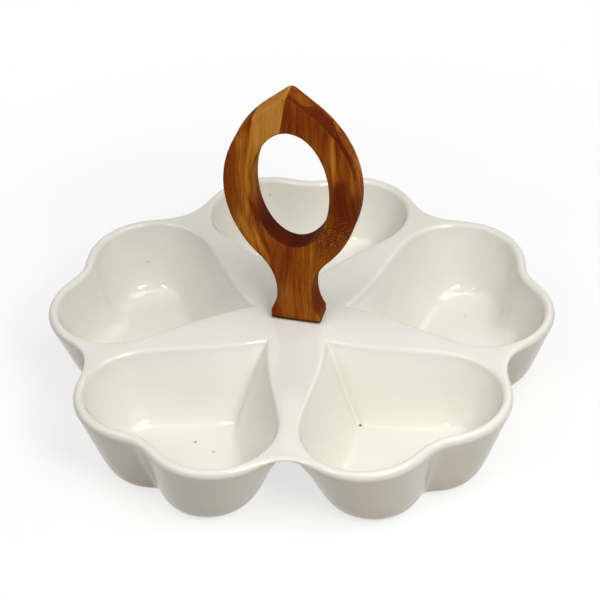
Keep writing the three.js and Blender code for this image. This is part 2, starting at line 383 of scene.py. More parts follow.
def upper_skin():
    rings = upper_rings()
    skin = grow_skin("upper_skin", rings)
    edges = [rings[-1]] + [whole(edge_half(degrees)) for degrees in EDGE_TURNS]
    free_edges = [edge[APEX:2 * HALF_COUNT - APEX + 1] for edge in edges]
    pick(skin, lambda v: min((v.co - place).length for place in free_edges[0]) < TINY)
    extrude_through(skin, free_edges)
    close_piece()
    return skin


UNDER_HEIGHTS = (0.010, 0.021, 0.031)
UNDER_WEB = RIM_HEIGHT - WEB_THICKNESS
WALL_TOP = RIM_HEIGHT - CREST * 1.12  # where the wall runs into the rim's outer round
NOTCH_STAYS = 3  # the higher, the longer the notch of the outside stays sharp

# Rings under the webs, from a cup's wall outwards: the share of the way from the free edge back to the wall,
# the drop below the web, and the height on the free part of the lobe
UNDER_WEB_RINGS = ((1, 0.004, 0.038), (0.65, 0.0004, 0.042), (0.3, 0, 0.0448))


def outside(height):
    """The outline of a cup's outside at a height. Its notch stays sharp until near the rim."""
    share = height / WALL_TOP
    foot = grown(FOOT_HEART, WALL_THICKNESS)
    return between(foot, grown(RIM_HEART, RIM_WIDTH), share, notch=share ** NOTCH_STAYS)


def lower_skin():
    """From the edge of a cup's foot up the outside of its wall to the underside of the webs and the hub."""
    rings = []
    for degrees in FLOOR_TURNS:
        inset, rise = round_at(FOOT_ROUND, degrees)
        rings.append(heart_ring(grown(outside(rise), -inset), rise))
    for height in UNDER_HEIGHTS:
        rings.append(heart_ring(outside(height), height))
    edge = edge_half(EDGE_TURNS[-1])
    for place in edge[:APEX]:
        place.z = UNDER_WEB
    wall_top = level(heart_half(outside(UNDER_WEB)), UNDER_WEB)
    for web_share, drop, wall_height in UNDER_WEB_RINGS:
        half = [edge[i].lerp(wall_top[i], web_share) for i in range(TOUCH)]
        for place in half:
            place.z -= drop
        half += level(heart_half(outside(wall_height)), wall_height)[TOUCH:]
        rings.append(whole(half))
    rings.append(whole(edge))
    skin = grow_skin("lower_skin", rings)
    close_piece()
    return skin


def dish():
    """Five sectors, welded, with the hub's hole bridged from skin to skin."""
    sector = join(upper_skin(), lower_skin())
    sectors = [sector]
    while len(sectors) < CUP_COUNT:
        only(sector)
        bpy.ops.object.duplicate()
        sectors.append(bpy.context.object)
    for i, copy in enumerate(sectors):
        copy.rotation_euler.z = pi / 2 + DISH_TURN + i * 2 * HALF_SECTOR
        only(copy)
        bpy.ops.object.transform_apply()
    body = join(*sectors)
    body.name = "ceramic_dish"
    open_piece()
    weld(SAME_PLACE)
    pick(body, lambda v: v.co.xy.length < HUB_HOLE_RADIUS + SAME_PLACE)
    bpy.ops.transform.edge_crease(value=1)
    bpy.ops.mesh.bridge_edge_loops()
    face_outwards()
    close_piece()
    smooth = body.modifiers.new("soft_casting", "SUBSURF")
    smooth.levels = 2
    smooth.render_levels = 2
    apply_modifiers(body)
    return body


# The handle

OUTLINE_STEPS = 24
HANDLE_EDGE_STEPS = 4
FACE_ON = 0.999  # how squarely a flat face looks to the front or back
FACE_BORDER = 0.0003  # a strip round each face that keeps the rest of it flat in the light


def arc(centre, radius, start, stop, steps):
    turns = [start + (stop - start) * i / steps for i in range(1, steps + 1)]
    return [Vector((centre.x + radius * cos(t), 0, centre.y + radius * sin(t))) for t in turns]


def handle_half():
    """Right half of the board's outline: foot, flare, neck and leaf side, then down the finger hole."""
    leaf = Vector((LEAF_HALF_WIDTH - LEAF_SIDE_RADIUS, LEAF_CENTRE))
    neck_run = leaf.x - NECK_HALF_WIDTH
    neck_rise = LEAF_CENTRE - NECK_HEIGHT
    neck_reach = neck_run ** 2 + neck_rise ** 2 - LEAF_SIDE_RADIUS ** 2
    neck_radius = neck_reach / (2 * (LEAF_SIDE_RADIUS + neck_run))
    neck = Vector((NECK_HALF_WIDTH + neck_radius, NECK_HEIGHT))
    join_angle = atan2(-neck_rise, neck.x - leaf.x)
    side_end = hypot(LEAF_SIDE_RADIUS, LEAF_POINT_STRAIGHT)
    point_angle = acos(-leaf.x / side_end) - atan2(LEAF_POINT_STRAIGHT, LEAF_SIDE_RADIUS)
    points = [Vector((0, 0, 0)), Vector((FOOT_HALF_WIDTH, 0, 0)), Vector((FOOT_HALF_WIDTH, 0, FOOT_EDGE))]
    flare_start = points[-1]
    flare_pull = Vector((NECK_HALF_WIDTH, 0, NECK_HEIGHT - NECK_STRAIGHT))
    flare_end = Vector((NECK_HALF_WIDTH, 0, NECK_HEIGHT))
    for i in range(1, OUTLINE_STEPS // 2 + 1):
        share = i / (OUTLINE_STEPS // 2)
        low = flare_start.lerp(flare_pull, share)
        points.append(low.lerp(flare_pull.lerp(flare_end, share), share))
    points += arc(neck, neck_radius, pi, pi + join_angle, OUTLINE_STEPS // 2)
    points += arc(leaf, LEAF_SIDE_RADIUS, join_angle, point_angle, 2 * OUTLINE_STEPS)
    along = Vector((-sin(point_angle), 0, cos(point_angle)))
    point = points[-1] + along * LEAF_POINT_STRAIGHT
    points.append(point - along * LEAF_POINT_ROUND / tan(point_angle))
    round_centre = Vector((0, point.z - LEAF_POINT_ROUND / sin(point_angle)))
    points += arc(round_centre, LEAF_POINT_ROUND, point_angle, pi / 2, OUTLINE_STEPS // 4)
    for i in range(2 * OUTLINE_STEPS + 1):
        turn = pi / 2 - pi * i / (2 * OUTLINE_STEPS)
        height = HOLE_CENTRE + HOLE_HALF_HEIGHT * sin(turn)
        points.append(Vector((HOLE_HALF_WIDTH * cos(turn), 0, height)))
    return [p + Vector((0, -HANDLE_THICKNESS / 2, HANDLE_FOOT)) for p in points]


def on_face_outline(edge):
    """True for the edges round the front and back face, apart from the two that the handle stands on."""
    first, second = (vertex.co for vertex in edge.verts)
    standing = max(first.z, second.z) < HANDLE_FOOT + SAME_PLACE
    along_face = abs(first.y - second.y) < SAME_PLACE
    return edge.calc_face_angle(0) > SHARP and along_face and not standing


def handle():
    board = start_ring("leaf_handle", handle_half(), "NGON")
    bpy.ops.mesh.extrude_region_move(TRANSFORM_OT_translate={"value": (0, HANDLE_THICKNESS, 0)})
    pick(board, lambda f: all(abs(v.co.x) < SAME_PLACE for v in f.verts), "faces")
    bpy.ops.mesh.delete(type="FACE")
    face_outwards()
    close_piece()
    other_half = board.modifiers.new("other_half", "MIRROR")
    other_half.use_clip = True
    other_half.merge_threshold = SAME_PLACE
    apply_modifiers(board)
    open_piece()
    bpy.ops.mesh.select_mode(type="EDGE")
    pick(board, on_face_outline, "edges")
    bpy.ops.mesh.bevel(offset=HANDLE_EDGE_ROUND, segments=HANDLE_EDGE_STEPS, affect="EDGES")
    bpy.ops.mesh.select_mode(type="FACE")
    pick(board, lambda f: abs(f.normal.y) > FACE_ON, "faces")
    bpy.ops.mesh.inset(thickness=FACE_BORDER)
    bpy.ops.mesh.select_mode(type="VERT")
    close_piece()
    point_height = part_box("handle_screw")[1].z
    cut(board, turned("pilot_hole", [
        (0, HANDLE_FOOT - SCREW_HOLE_RADIUS),
        (SCREW_HOLE_RADIUS, HANDLE_FOOT - SCREW_HOLE_RADIUS),
        (SCREW_HOLE_RADIUS, point_height - SCREW_POINT),
        (0, point_height + SCREW_CLEARANCE),
    ]))
    return board


# The fixing under the hub, and the pad under the handle's foot

TURNED_STEPS = 48
THREAD_STEPS = 10  # round one pitch of the thread
CORNER_STEPS = 3  # round a corner of a washer's section
PAD_CORNER_STEPS = 5
PAD_EDGE_STEPS = 3
CROWN_TURNS = (0, 20, 40, 60, 80)


def turned(name, profile):
    """A piece turned on the centre line from a loop of (radius, height) points."""
    piece = start_ring(name, [(radius, 0, height) for radius, height in profile], "NOTHING")
    bpy.ops.mesh.select_mode(type="EDGE")
    pick(piece, lambda e: all(v.co.x < TINY for v in e.verts), "edges")
    bpy.ops.mesh.delete(type="EDGE")
    bpy.ops.mesh.select_mode(type="VERT")
    bpy.ops.mesh.select_all(action="SELECT")
    bpy.ops.mesh.spin(steps=TURNED_STEPS, angle=2 * pi, center=(0, 0, 0), axis=(0, 0, 1))
    weld(TINY)
    face_outwards()
    close_piece()
    return piece


def cut(piece, cutter):
    """Takes the cutter's shape out of the piece."""
    taken_out = piece.modifiers.new("hollow", "BOOLEAN")
    taken_out.operation = "DIFFERENCE"
    taken_out.solver = "EXACT"
    taken_out.object = cutter
    only(piece)
    apply_modifiers(piece)
    open_piece()
    weld(TINY)
    close_piece()
    bpy.data.objects.remove(cutter)


def rounded_section(inner, outer, low, high, edge):
    """A washer's section, as a loop of (radius, height) points with its four corners rounded."""
    corners = ((inner, low, 180), (outer, low, 270), (outer, high, 0), (inner, high, 90))
    loop = []
    for radius, height, start in corners:
        centre_radius = radius + (edge if radius == inner else -edge)
        centre_height = height + (edge if height == low else -edge)
        for step in range(CORNER_STEPS + 1):
            turn = radians(start + 90 * step / CORNER_STEPS)
            loop.append((centre_radius + edge * cos(turn), centre_height + edge * sin(turn)))
    return loop


def washer(name, node, edge):
    low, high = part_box(node)
    return turned(name, rounded_section(SCREW_HOLE_RADIUS, high.x, low.z, high.z, edge))


def cut_thread(piece, top):
    """Draws a screw's shank in between the crests of its thread."""
    open_piece()
    mesh = bmesh.from_edit_mesh(piece.data)
    for vertex in mesh.verts:
        if THREAD_START < vertex.co.z < top - TINY:
            turn = atan2(vertex.co.y, vertex.co.x) / (2 * pi)
            from_crest = abs((vertex.co.z / THREAD_PITCH - turn) % 1 - 0.5) * 2
            vertex.co.xy *= 1 - THREAD_DEPTH / SHANK_RADIUS * min(1, from_crest / THREAD_FLANK)
    bmesh.update_edit_mesh(piece.data)
    close_piece()


def screw():
    """A slotted pan head, a plain neck through the washers, and a thread up to the point."""
    low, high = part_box("handle_screw")
    under_head = low.z + HEAD_HEIGHT
    profile = [(0, low.z)]
    for degrees in CROWN_TURNS:
        inset, rise = round_at(HEAD_CROWN, degrees)
        profile.append((high.x - inset, low.z + rise))
    profile += [(high.x, under_head), (SHANK_RADIUS, under_head), (SHANK_RADIUS, THREAD_START)]
    steps = round((high.z - THREAD_START) / THREAD_PITCH * THREAD_STEPS)
    for i in range(1, steps):
        height = THREAD_START + (high.z - THREAD_START) * i / steps
        profile.append((SHANK_RADIUS * min(1, (high.z - height) / SCREW_POINT), height))
    profile.append((0, high.z))
    piece = turned("pan_head_screw", profile)
    cut_thread(piece, high.z)
    bpy.ops.mesh.primitive_cube_add(size=1)
    slot_cutter = start_piece("slot_cutter")
    bpy.ops.transform.resize(value=(3 * high.x, SLOT_WIDTH, 2 * SLOT_DEPTH))
    bpy.ops.transform.translate(value=(0, 0, low.z))
    close_piece()
    cut(piece, slot_cutter)
    return piece


def climb(edge):
    return abs(edge.verts[0].co.z - edge.verts[1].co.z)


def foot_pad():
    """A thin pad between the foot and the glaze, with a hole for the screw."""
    low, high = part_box("foot_pad")
    bpy.ops.mesh.primitive_cube_add(size=1)
    piece = start_piece("rubber_foot_pad")
    bpy.ops.transform.resize(value=high - low)
    bpy.ops.transform.translate(value=(low + high) / 2)
    bpy.ops.mesh.select_mode(type="EDGE")
    pick(piece, lambda e: climb(e) > SAME_PLACE, "edges")
    bpy.ops.mesh.bevel(offset=PAD_CORNER, segments=PAD_CORNER_STEPS, affect="EDGES")
    pick(piece, lambda e: climb(e) < SAME_PLACE and e.calc_face_angle(0) > SHARP, "edges")
    bpy.ops.mesh.bevel(offset=PAD_EDGE, segments=PAD_EDGE_STEPS, affect="EDGES")
    bpy.ops.mesh.select_mode(type="VERT")
    close_piece()
    bottom = low.z - PAD_CORNER
    top = high.z + PAD_CORNER
    hole = [(0, bottom), (SCREW_HOLE_RADIUS, bottom), (SCREW_HOLE_RADIUS, top), (0, top)]
    cut(piece, turned("pad_hole", hole))
    return piece


# Node trees are written with these helpers, into the tree that was opened last

class Opened:
    tree = None


def link(start, end):
    Opened.tree.links.new(start, end)


def give(node, inputs):
    """An input that is given a socket is linked to it, and otherwise it is set."""
    for name, value in dict(inputs).items():
        if isinstance(value, bpy.types.NodeSocket):
            link(value, node.inputs[name])
        else:
            node.inputs[name].default_value = value


def put(kind, inputs=(), **settings):
    """Adds a shader node."""
    made = Opened.tree.nodes.new("ShaderNode" + kind)
    for name, value in settings.items():
        setattr(made, name, value)
    give(made, inputs)
    return made


def maths(operation, *terms):
    return put("Math", enumerate(terms), operation=operation).outputs[0]


def times(product, *terms):
    for term in terms:
        product = maths("MULTIPLY", product, term)
    return product


def strongest(most, *terms):
    for term in terms:
        most = maths("MAXIMUM", most, term)
    return most


def layered(base, *layers):
    """A base value with a share of each layer added to it."""
    for layer, share in layers:
        base = maths("MULTIPLY_ADD", layer, share, base)
    return base


def without(mask):
    return maths("SUBTRACT", 1, mask)


def vectors(operation, *terms):
    return put("VectorMath", enumerate(terms), operation=operation).outputs[0]


def reach_of(vector):
    return put("VectorMath", {0: vector}, operation="LENGTH").outputs["Value"]


def even(size):
    """The same size along all three axes."""
    return (size, size, size)


def soft_step(value, low, high, start=0, stop=1):
    """Goes smoothly from start to stop while the value goes from low to high."""
    limits = {"Value": value, "From Min": low, "From Max": high, "To Min": start, "To Max": stop}
    return put("MapRange", limits, interpolation_type="SMOOTHSTEP").outputs[0]


def mix(share, first, second):
    given = {"Factor": share, "A": first, "B": second}
    return put("Mix", given, data_type="RGBA").outputs["Result"]


def colour(red, green, blue):
    return (red, green, blue, 1)


def split(vector):
    return put("SeparateXYZ", {"Vector": vector}).outputs


def millimetres():
    """Places on the object, in millimetres."""
    place = put("TexCoord").outputs["Object"]
    return vectors("MULTIPLY", place, even(1000))


def finish(name):
    """Opens a new material, and gives it and its shader."""
    material = bpy.data.materials.new(name)
    material.use_nodes = True
    Opened.tree = material.node_tree
    return material, Opened.tree.nodes["Principled BSDF"]


def relief(height, depth):
    """The surface's fine ups and downs, depth in metres."""
    return put("Bump", {"Height": height, "Distance": depth, "Strength": 1}).outputs["Normal"]


# Effects that several finishes share

SPOT_SOFTNESS = 0.5
CLOUD_SCALES = {"Broad": 1, "Fine": 6}
CLOUD_CONTRAST = (0.28, 0.72)
SPECK_CORE = 0.55  # share of a speck's size that is solid
SCUFF_LINE = (0.004, 0.016, 1, 0)
SCUFF_GAPS = (0.52, 0.6)


def effect(name, inputs, outputs):
    """Opens a node group with named sockets: the group, what it is given and what it gives."""
    group = bpy.data.node_groups.new(name, "ShaderNodeTree")
    for socket, kind in inputs.items():
        group.interface.new_socket(socket, in_out="INPUT", socket_type="NodeSocket" + kind)
    for socket in outputs:
        group.interface.new_socket(socket, in_out="OUTPUT", socket_type="NodeSocketFloat")
    Opened.tree = group
    start = group.nodes.new("NodeGroupInput")
    end = group.nodes.new("NodeGroupOutput")
    return group, start.outputs, end.inputs


def make_soft_patch():
    """An oval spot with a soft edge, upright or leaning: 1 in its middle and 0 outside."""
    places = dict.fromkeys(("Vector", "Centre", "Half Size"), "Vector")
    group, given, gives = effect("soft_patch", {**places, "Lean": "Float", "Softness": "Float"}, ["Mask"])
    away = split(vectors("SUBTRACT", given["Vector"], given["Centre"]))
    shifted = maths("SUBTRACT", away["X"], times(given["Lean"], away["Z"]))
    upright = put("CombineXYZ", {"X": shifted, "Y": away["Y"], "Z": away["Z"]}).outputs[0]
    reach = reach_of(vectors("DIVIDE", upright, given["Half Size"]))
    fade_start = without(given["Softness"])
    fade_end = maths("ADD", 1, given["Softness"])
    link(soft_step(reach, fade_start, fade_end, 1, 0), gives["Mask"])
    return group


def make_mottle():
    """Cloudy variation, broad and fine. The scale says how many clouds there are in a millimetre each way."""
    group, given, gives = effect("mottle", {"Vector": "Vector", "Scale": "Vector"}, CLOUD_SCALES)
    stretched = vectors("MULTIPLY", given["Vector"], given["Scale"])
    for name, scale in CLOUD_SCALES.items():
        clouds = put("TexNoise", {"Vector": stretched, "Scale": scale, "Detail": 2.5})
        link(soft_step(clouds.outputs[0], *CLOUD_CONTRAST), gives[name])
    return group


def make_specks():
    """Small scattered spots: pinholes, pores or grit. Share says in how many of the cells there is one."""
    inputs = {"Vector": "Vector", "Scale": "Vector", "Share": "Float", "Size": "Float"}
    group, given, gives = effect("specks", inputs, ["Mask"])
    stretched = vectors("MULTIPLY", given["Vector"], given["Scale"])
    cells = put("TexVoronoi", {"Vector": stretched, "Scale": 1}).outputs
    lot = put("SeparateColor", {"Color": cells["Color"]}).outputs["Red"]
    kept = maths("LESS_THAN", lot, given["Share"])
    core = times(given["Size"], SPECK_CORE)
    dot = soft_step(cells["Distance"], core, given["Size"], 1, 0)
    link(times(kept, dot), gives["Mask"])
    return group


def make_scuffs():
    """Fine hairline marks from use, broken off at random."""
    group, given, gives = effect("scuffs", {"Vector": "Vector", "Spacing": "Float"}, ["Mask"])
    scale = maths("DIVIDE", 1, given["Spacing"])
    scaled = put("VectorMath", {0: given["Vector"], "Scale": scale}, operation="SCALE").outputs[0]
    drift = put("TexNoise", {"Vector": scaled, "Scale": 0.7}).outputs[1]
    bent = vectors("ADD", scaled, drift)
    cells = put("TexVoronoi", {"Vector": bent, "Scale": 1}, feature="DISTANCE_TO_EDGE").outputs
    hairline = soft_step(cells["Distance"], *SCUFF_LINE)
    gaps = put("TexNoise", {"Vector": scaled, "Scale": 2.3}).outputs[0]
    link(times(hairline, soft_step(gaps, *SCUFF_GAPS)), gives["Mask"])
    return group


soft_patch = make_soft_patch()
mottle = make_mottle()
specks = make_specks()
scuffs = make_scuffs()


def spot(place, middle, half_size, lean=0.0):
    given = {"Vector": place, "Centre": middle, "Half Size": half_size, "Lean": lean}
    given["Softness"] = SPOT_SOFTNESS
    return put("Group", given, node_tree=soft_patch).outputs["Mask"]


def mottled(place, scale):
    return put("Group", {"Vector": place, "Scale": scale}, node_tree=mottle).outputs


def speckled(place, scale, share, size):
    given = {"Vector": place, "Scale": scale, "Share": share, "Size": size}
    return put("Group", given, node_tree=specks).outputs["Mask"]


def scuffed(place, spacing):
    return put("Group", {"Vector": place, "Spacing": spacing}, node_tree=scuffs).outputs["Mask"]


# Wood of the handle: colours from the darkest grain to the palest, and places as millimetres across and up

# The darkest tone also paints the shadow line just above the foot
DARK_HEART_AND_SHADOW = colour(0.045, 0.005, 0.002)
DARK_GRAIN = colour(0.115, 0.017, 0.003)
RED_BROWN = colour(0.205, 0.041, 0.004)
BROWN = colour(0.275, 0.074, 0.006)
GOLDEN = colour(0.46, 0.178, 0.019)
HONEY = colour(0.55, 0.255, 0.050)

# The grain wanders, and its tone comes from broad and fine bands and broad and fine fibres
SWAY = (14, 8, 0)
SWAY_SCALE = (0.03, 0.03, 0.014)
NOISE_MIDDLE = 0.5
GRAIN_SHARES = (0.36, 0.26, 0.23, 0.15)
GRAIN_TINTS = ((0.10, DARK_GRAIN), (0.35, RED_BROWN), (0.56, BROWN), (0.84, GOLDEN))

# Seams between glued blocks, each as two places on a line and its softness
HONEY_SEAM = ((-4.5, 180), (0, 203), 0.25)
HONEY_LEFT = ((-23, 165), (-20, 187), 0.3)
HONEY_BOTTOM = (156, 172)
HONEY_STRENGTH = 0.9
NECK_SEAM = ((3.0, 78), (0.6, 102), 0.3)
NECK_BLOCK = ((6.5, 92), (8, 13))
NECK_STRENGTH = 0.12

# One mark a row: colour, strength, its middle, its half width and half height, and how far it leans
WOOD_MARKS = (
    (GOLDEN, 0.30, (-25.5, 140), (1.6, 24), 0),
    (RED_BROWN, 0.55, (-33.5, 152), (3.0, 22), 0.06),
    (RED_BROWN, 0.45, (-34.5, 128), (2.2, 12), 0),
    (DARK_GRAIN, 0.80, (-21.5, 183), (0.9, 6), 0.20),
    (GOLDEN, 0.95, (-27.0, 112), (2.4, 10), -0.30),
    (GOLDEN, 0.95, (-19.3, 103), (1.6, 9), -0.30),
    (DARK_GRAIN, 0.75, (-16.2, 104), (1.5, 9), -0.33),
    (DARK_GRAIN, 0.95, (-20.8, 123), (1.9, 11), -0.28),
    (RED_BROWN, 0.60, (-9.0, 99), (5.0, 6), 0),
    (RED_BROWN, 0.55, (10.0, 190), (9.0, 9), -0.4),
    (DARK_GRAIN, 0.45, (3.5, 186), (1.2, 9), 0.05),
    (GOLDEN, 0.95, (25.3, 168), (1.4, 13), 0),
    (GOLDEN, 0.75, (-19.5, 151), (3.0, 17), 0),
    (DARK_GRAIN, 0.92, (31.0, 132), (11.0, 15), 0),
    (DARK_GRAIN, 0.85, (29.0, 146), (4.0, 7), 0.2),
    (RED_BROWN, 0.33, (2.0, 76), (16.0, 26), 0),
    (GOLDEN, 0.25, (-4.0, 64), (5.5, 12), 0),
    (DARK_HEART_AND_SHADOW, 0.62, (13.5, 64), (3.2, 7), -0.1),
    (DARK_GRAIN, 0.60, (-14.0, 60), (1.6, 5), -0.4),
)
MARK_DEPTH = HANDLE_THICKNESS * 4000  # a mark goes right through the board
FAINTEST_MARK = 0.6  # between the fibres
FIBRE_MARK = 0.6  # what the fibres add to it

# End grain on the face, as a spot, and two kinds of flecks in it, each with its scale and share of places
END_GRAIN_PATCH = ((23.5, 113), (10.5, 12), 0.45)
END_GRAIN_STRENGTH = 0.8
FLECKS = (((0.55, 0.3, 0.80), 0.70), ((0.95, 0.5, 1.25), 0.65))
FLECK_STRENGTH = 0.23

# Soft steps: from where to where and, unless from 0 to 1, between which shares. The sides and edges are
# told from the faces by how squarely they look to the front or back.
SAWN_SIDE = (0.5, 0.9, 1, 0)
EDGE_START = (0.1, 0.5)
EDGE_END = (0.8, 0.99, 1, 0)
EDGE_STRENGTH = (0, 1, 0.55, 0)  # from the brown blocks to the honey-coloured one
LOOKS_UP = (0.1, 0.5)
LOOKS_RIGHT = (0.05, 0.3)
HOLE_FLOOR = ((-4, 114), (24, 19))  # a spot
HOLE_FLOOR_STRENGTH = (4, 20, 0.95, 0.55)
LOW_SIDE = (90, 130, 1, 0)
LOW_SIDE_STRENGTH = 0.7
# A painted shadow line on the wood just above the foot, where it stands on the pad
FOOT_SHADOW_LINE = (HANDLE_FOOT * 1000 + 0.5, HANDLE_FOOT * 1000 + 1.3, 0.85, 0)

# The dark band on the upper right side, whose border runs back over some heights and then forward again
BAND_BACK = (174, 185, -2.5, 4)
BAND_FORWARD = (191, 197, 0, 8)
BAND_BORDER = (-1.5, 1.5, 1, 0)
BAND_START = (150, 165)
BAND_BREAKS = (-0.1, 0.4, 0.35, 1)
BAND_STRENGTH = 0.9
BAND_HEART = (172, 190, 0.7, 0.25)

PORE_STRENGTH = 0.45
WOOD_ROUGHNESS = 0.58
FIBRE_ROUGHNESS = -0.12
SAWN_ROUGHNESS = 0.12
FIBRE_RELIEF = 0.6
WOOD_SHINE = 0.02


def beside(place, start, end, softness):
    """1 on the left of a line over the board's face, looking along it, and 0 on the right."""
    left = Vector((start[1] - end[1], 0, end[0] - start[0])).normalized()
    towards = put("VectorMath", {0: place, 1: left}, operation="DOT_PRODUCT").outputs["Value"]
    distance = maths("SUBTRACT", towards, left.x * start[0] + left.z * start[1])
    return soft_step(distance, -softness, softness)


def spot_on_board(place, middle, half, lean=0.0):
    return spot(place, (middle[0], 0, middle[1]), (half[0], MARK_DEPTH, half[1]), lean)


def ramp(value, stops):
    made = put("ValToRGB", {"Fac": value})
    elements = made.color_ramp.elements
    while len(elements) < len(stops):
        elements.new(1)
    for element, (place, tint) in zip(elements, stops):
        element.position = place
        element.color = tint
    return made.outputs["Color"]


def swaying(place):
    """Places on the board that wander as the grain does."""
    slow = vectors("MULTIPLY", place, SWAY_SCALE)
    drift = put("TexNoise", {"Vector": slow, "Scale": 1, "Detail": 1}).outputs[1]
    sway = vectors("MULTIPLY", vectors("SUBTRACT", drift, even(NOISE_MIDDLE)), SWAY)
    return vectors("ADD", place, sway)


def glued_blocks(place, height, fibres, tint):
    """The board is glued up from blocks: a honey-coloured one at the top, a paler one over the neck."""
    over_bottom = soft_step(height, *HONEY_BOTTOM)
    honey = times(beside(place, *HONEY_SEAM), over_bottom, without(beside(place, *HONEY_LEFT)))
    honey_tint = mix(fibres["Broad"], GOLDEN, HONEY)
    tint = mix(times(honey, HONEY_STRENGTH), tint, honey_tint)
    neck_right = without(beside(place, *NECK_SEAM))
    neck_block = times(neck_right, spot_on_board(place, *NECK_BLOCK), NECK_STRENGTH)
    return honey, mix(neck_block, tint, GOLDEN)


def streaks(place, fibres, tint):
    """Streaks, the dark heart of the board and a knot."""
    broken_up = layered(FAINTEST_MARK, (fibres["Broad"], FIBRE_MARK))
    for mark_tint, strength, middle, half, lean in WOOD_MARKS:
        mask = times(spot_on_board(place, middle, half, lean), strength, broken_up)
        tint = mix(mask, tint, mark_tint)
    return tint


def end_grain(place, grain, tint):
    """End grain that comes to the face, dark with fine pale flecks."""
    patch = spot_on_board(place, *END_GRAIN_PATCH)
    tint = mix(times(patch, END_GRAIN_STRENGTH), tint, DARK_GRAIN)
    for scale, share in FLECKS:
        flecks = speckled(grain, scale, share, size=0.5)
        tint = mix(times(patch, flecks, FLECK_STRENGTH), tint, HONEY)
    return tint


def sawn_sides(place, facing, side, bands, tint):
    """Dark in the bottom of the finger hole, along the upper right side and low on the right."""
    across, through, height = split(place)
    upward = times(side, soft_step(facing["Z"], *LOOKS_UP))
    hole_strength = soft_step(across, *HOLE_FLOOR_STRENGTH)
    hole_floor = times(upward, spot_on_board(place, *HOLE_FLOOR), hole_strength)
    tint = mix(hole_floor, tint, DARK_HEART_AND_SHADOW)
    right_side = times(side, soft_step(facing["X"], *LOOKS_RIGHT))
    past = maths("SUBTRACT", through, soft_step(height, *BAND_BACK))
    past = maths("ADD", past, soft_step(height, *BAND_FORWARD))
    band = times(
        right_side,
        soft_step(past, *BAND_BORDER),
        soft_step(height, *BAND_START),
        soft_step(bands["Fine"], *BAND_BREAKS),
    )
    tint = mix(times(band, BAND_STRENGTH), tint, DARK_GRAIN)
    tint = mix(times(band, soft_step(height, *BAND_HEART)), tint, DARK_HEART_AND_SHADOW)
    low_side = times(right_side, soft_step(height, *LOW_SIDE), LOW_SIDE_STRENGTH)
    return mix(low_side, tint, DARK_GRAIN)


def dark_edges(squareness, honey, height, tint):
    """Dark along the rounded edges, and a painted shadow line just above the foot."""
    edges = times(
        soft_step(squareness, *EDGE_START),
        soft_step(squareness, *EDGE_END),
        soft_step(honey, *EDGE_STRENGTH),
    )
    tint = mix(edges, tint, DARK_GRAIN)
    # Painted shadow line along the bottom of the foot
    return mix(soft_step(height, *FOOT_SHADOW_LINE), tint, DARK_HEART_AND_SHADOW)


def oiled_wood():
    material, shader = finish("oiled_wood")
    place = millimetres()
    height = split(place)["Z"]
    facing = split(put("TexCoord").outputs["Normal"])
    squareness = maths("ABSOLUTE", facing["Y"])
    side = soft_step(squareness, *SAWN_SIDE)
    grain = swaying(place)
    bands = mottled(grain, scale=(0.09, 0.06, 0.007))
    fibres = mottled(grain, scale=(0.42, 0.30, 0.020))
    pores = speckled(grain, scale=(1.3, 1.0, 0.11), share=0.35, size=0.3)
    layers = (bands["Broad"], bands["Fine"], fibres["Broad"], fibres["Fine"])
    tint = ramp(layered(0, *zip(layers, GRAIN_SHARES)), GRAIN_TINTS)
    honey, tint = glued_blocks(place, height, fibres, tint)
    tint = streaks(place, fibres, tint)
    tint = end_grain(place, grain, tint)
    tint = sawn_sides(place, facing, side, bands, tint)
    tint = dark_edges(squareness, honey, height, tint)
    tint = mix(times(pores, PORE_STRENGTH), tint, DARK_GRAIN)
    satin = layered(WOOD_ROUGHNESS, (fibres["Broad"], FIBRE_ROUGHNESS), (side, SAWN_ROUGHNESS))
    ups = layered(0, (fibres["Fine"], FIBRE_RELIEF), (pores, -1))
    give(shader, {"Base Color": tint, "Roughness": satin, "Normal": relief(ups, depth=0.00012)})
    give(shader, {"Specular IOR Level": WOOD_SHINE})
    return material


# Glaze of the dish

IVORY = colour(0.750, 0.735, 0.665)
IVORY_WARM = colour(0.725, 0.700, 0.620)
POOLED_IVORY = colour(0.70, 0.665, 0.57)
PINHOLE_BROWN = colour(0.16, 0.11, 0.07)
BISCUIT = colour(0.68, 0.62, 0.53)
POOLING = (0.500, 0.480)  # pointiness where the glaze begins to pool in a hollow, and where it is deep
POOLING_STRENGTH = 0.5
STRAY_STRENGTH = 0.45

# One pinhole a row: its place, its radius and how dark it is
PINHOLES = (
    ((-42.6, -75.9, 8.0), 0.75, 0.9),
    ((-29.9, -81.7, 8.0), 1.10, 0.35),
    ((46.0, -41.2, 8.3), 0.90, 1.0),
    ((-114.3, 60.4, 27.2), 0.55, 0.4),
    ((83.7, 73.1, 8.0), 0.50, 0.4),
    ((-54.3, 129.3, 40.0), 0.55, 0.5),
)
BARE_HEIGHT = (0.40, 0.55, 1, 0)
BARE_UNEVENNESS = 0.15
SEAM_START = (0.3, 0.6)
SEAM_END = (0.8, 1.6, 1, 0)
SEAM_STRENGTH = 0.5
GLAZE_ROUGHNESS = 0.075
CLOUD_ROUGHNESS = 0.04
SCUFF_ROUGHNESS = 0.12
CLAY_ROUGHNESS = 0.70
PEEL_RELIEF = 0.5
CLAY_RELIEF = 0.6


def pinholes(place):
    """Stray pinholes all over, and the ones that the photograph shows."""
    marks = times(speckled(place, scale=even(0.05), share=0.14, size=0.018), STRAY_STRENGTH)
    for middle, radius, strength in PINHOLES:
        marks = strongest(marks, times(spot(place, middle, even(radius)), strength))
    return marks


